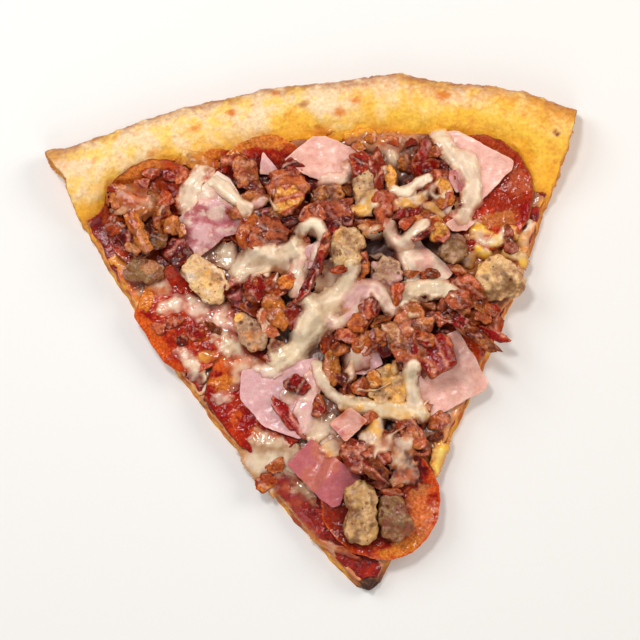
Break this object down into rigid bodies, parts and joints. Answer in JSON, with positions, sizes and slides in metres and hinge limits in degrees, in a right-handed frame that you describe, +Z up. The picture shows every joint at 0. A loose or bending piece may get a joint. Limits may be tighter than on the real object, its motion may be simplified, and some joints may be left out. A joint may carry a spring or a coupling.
{
  "type": "slice of meat pizza",
  "caption": "One slice of thick-rimmed pizza with sauce, melted cheese, pepperoni, ham, sausage crumbles and crisp bacon.",
  "frame": {"origin": "under the middle of the slice's outline, on its flat underside", "axes": "+Z up from the underside, +Y from the point towards the rim, +X to the right"},
  "size_m": [0.1802, 0.1778, 0.0237],
  "materials": {
    "crust": "baked bread dough, floury and golden, with toasted spots",
    "sauce": "wet tomato sauce",
    "cheese": "melted cheese, oily, browned in spots",
    "pepperoni": "grainy cured sausage with an oily sheen",
    "ham": "moist cooked ham",
    "bacon": "crisp fried bacon, lean and fat",
    "sausage": "cooked pork crumble with herbs and pepper",
    "strand": "glossy, half clear melted cheese"
  },
  "bodies": {
    "root": {"crust": "crust", "sauce": "sauce", "cheese": "cheese", "pepperoni_1": "pepperoni", "pepperoni_2": "pepperoni", "pepperoni_3": "pepperoni", "pepperoni_4": "pepperoni", "pepperoni_5": "pepperoni", "pepperoni_6": "pepperoni", "pepperoni_7": "pepperoni", "pepperoni_8": "pepperoni", "ham_1": "ham", "ham_2": "ham", "ham_3": "ham", "ham_4": "ham", "ham_5": "ham", "ham_6": "ham", "ham_7": "ham", "ham_8": "ham", "ham_9": "ham", "ham_10": "ham", "ham_11": "ham", "bacon_1": "bacon", "bacon_2": "bacon", "bacon_3": "bacon", "bacon_4": "bacon", "bacon_5": "bacon", "bacon_6": "bacon", "bacon_7": "bacon", "bacon_8": "bacon", "bacon_9": "bacon", "bacon_10": "bacon", "bacon_11": "bacon", "bacon_12": "bacon", "bacon_13": "bacon", "bacon_14": "bacon", "bacon_15": "bacon", "bacon_16": "bacon", "bacon_17": "bacon", "sausage_1": "sausage", "sausage_2": "sausage", "sausage_3": "sausage", "sausage_4": "sausage", "sausage_5": "sausage", "sausage_6": "sausage", "sausage_7": "sausage", "sausage_8": "sausage", "sausage_9": "sausage", "sausage_10": "sausage", "sausage_11": "sausage", "sausage_12": "sausage", "sausage_13": "sausage", "sausage_14": "sausage", "cheese_strand_1": "strand", "cheese_strand_2": "strand", "cheese_strand_3": "strand", "cheese_strand_4": "strand", "cheese_strand_5": "strand", "cheese_strand_6": "strand", "cheese_strand_7": "strand"}
  },
  "joints": []
}
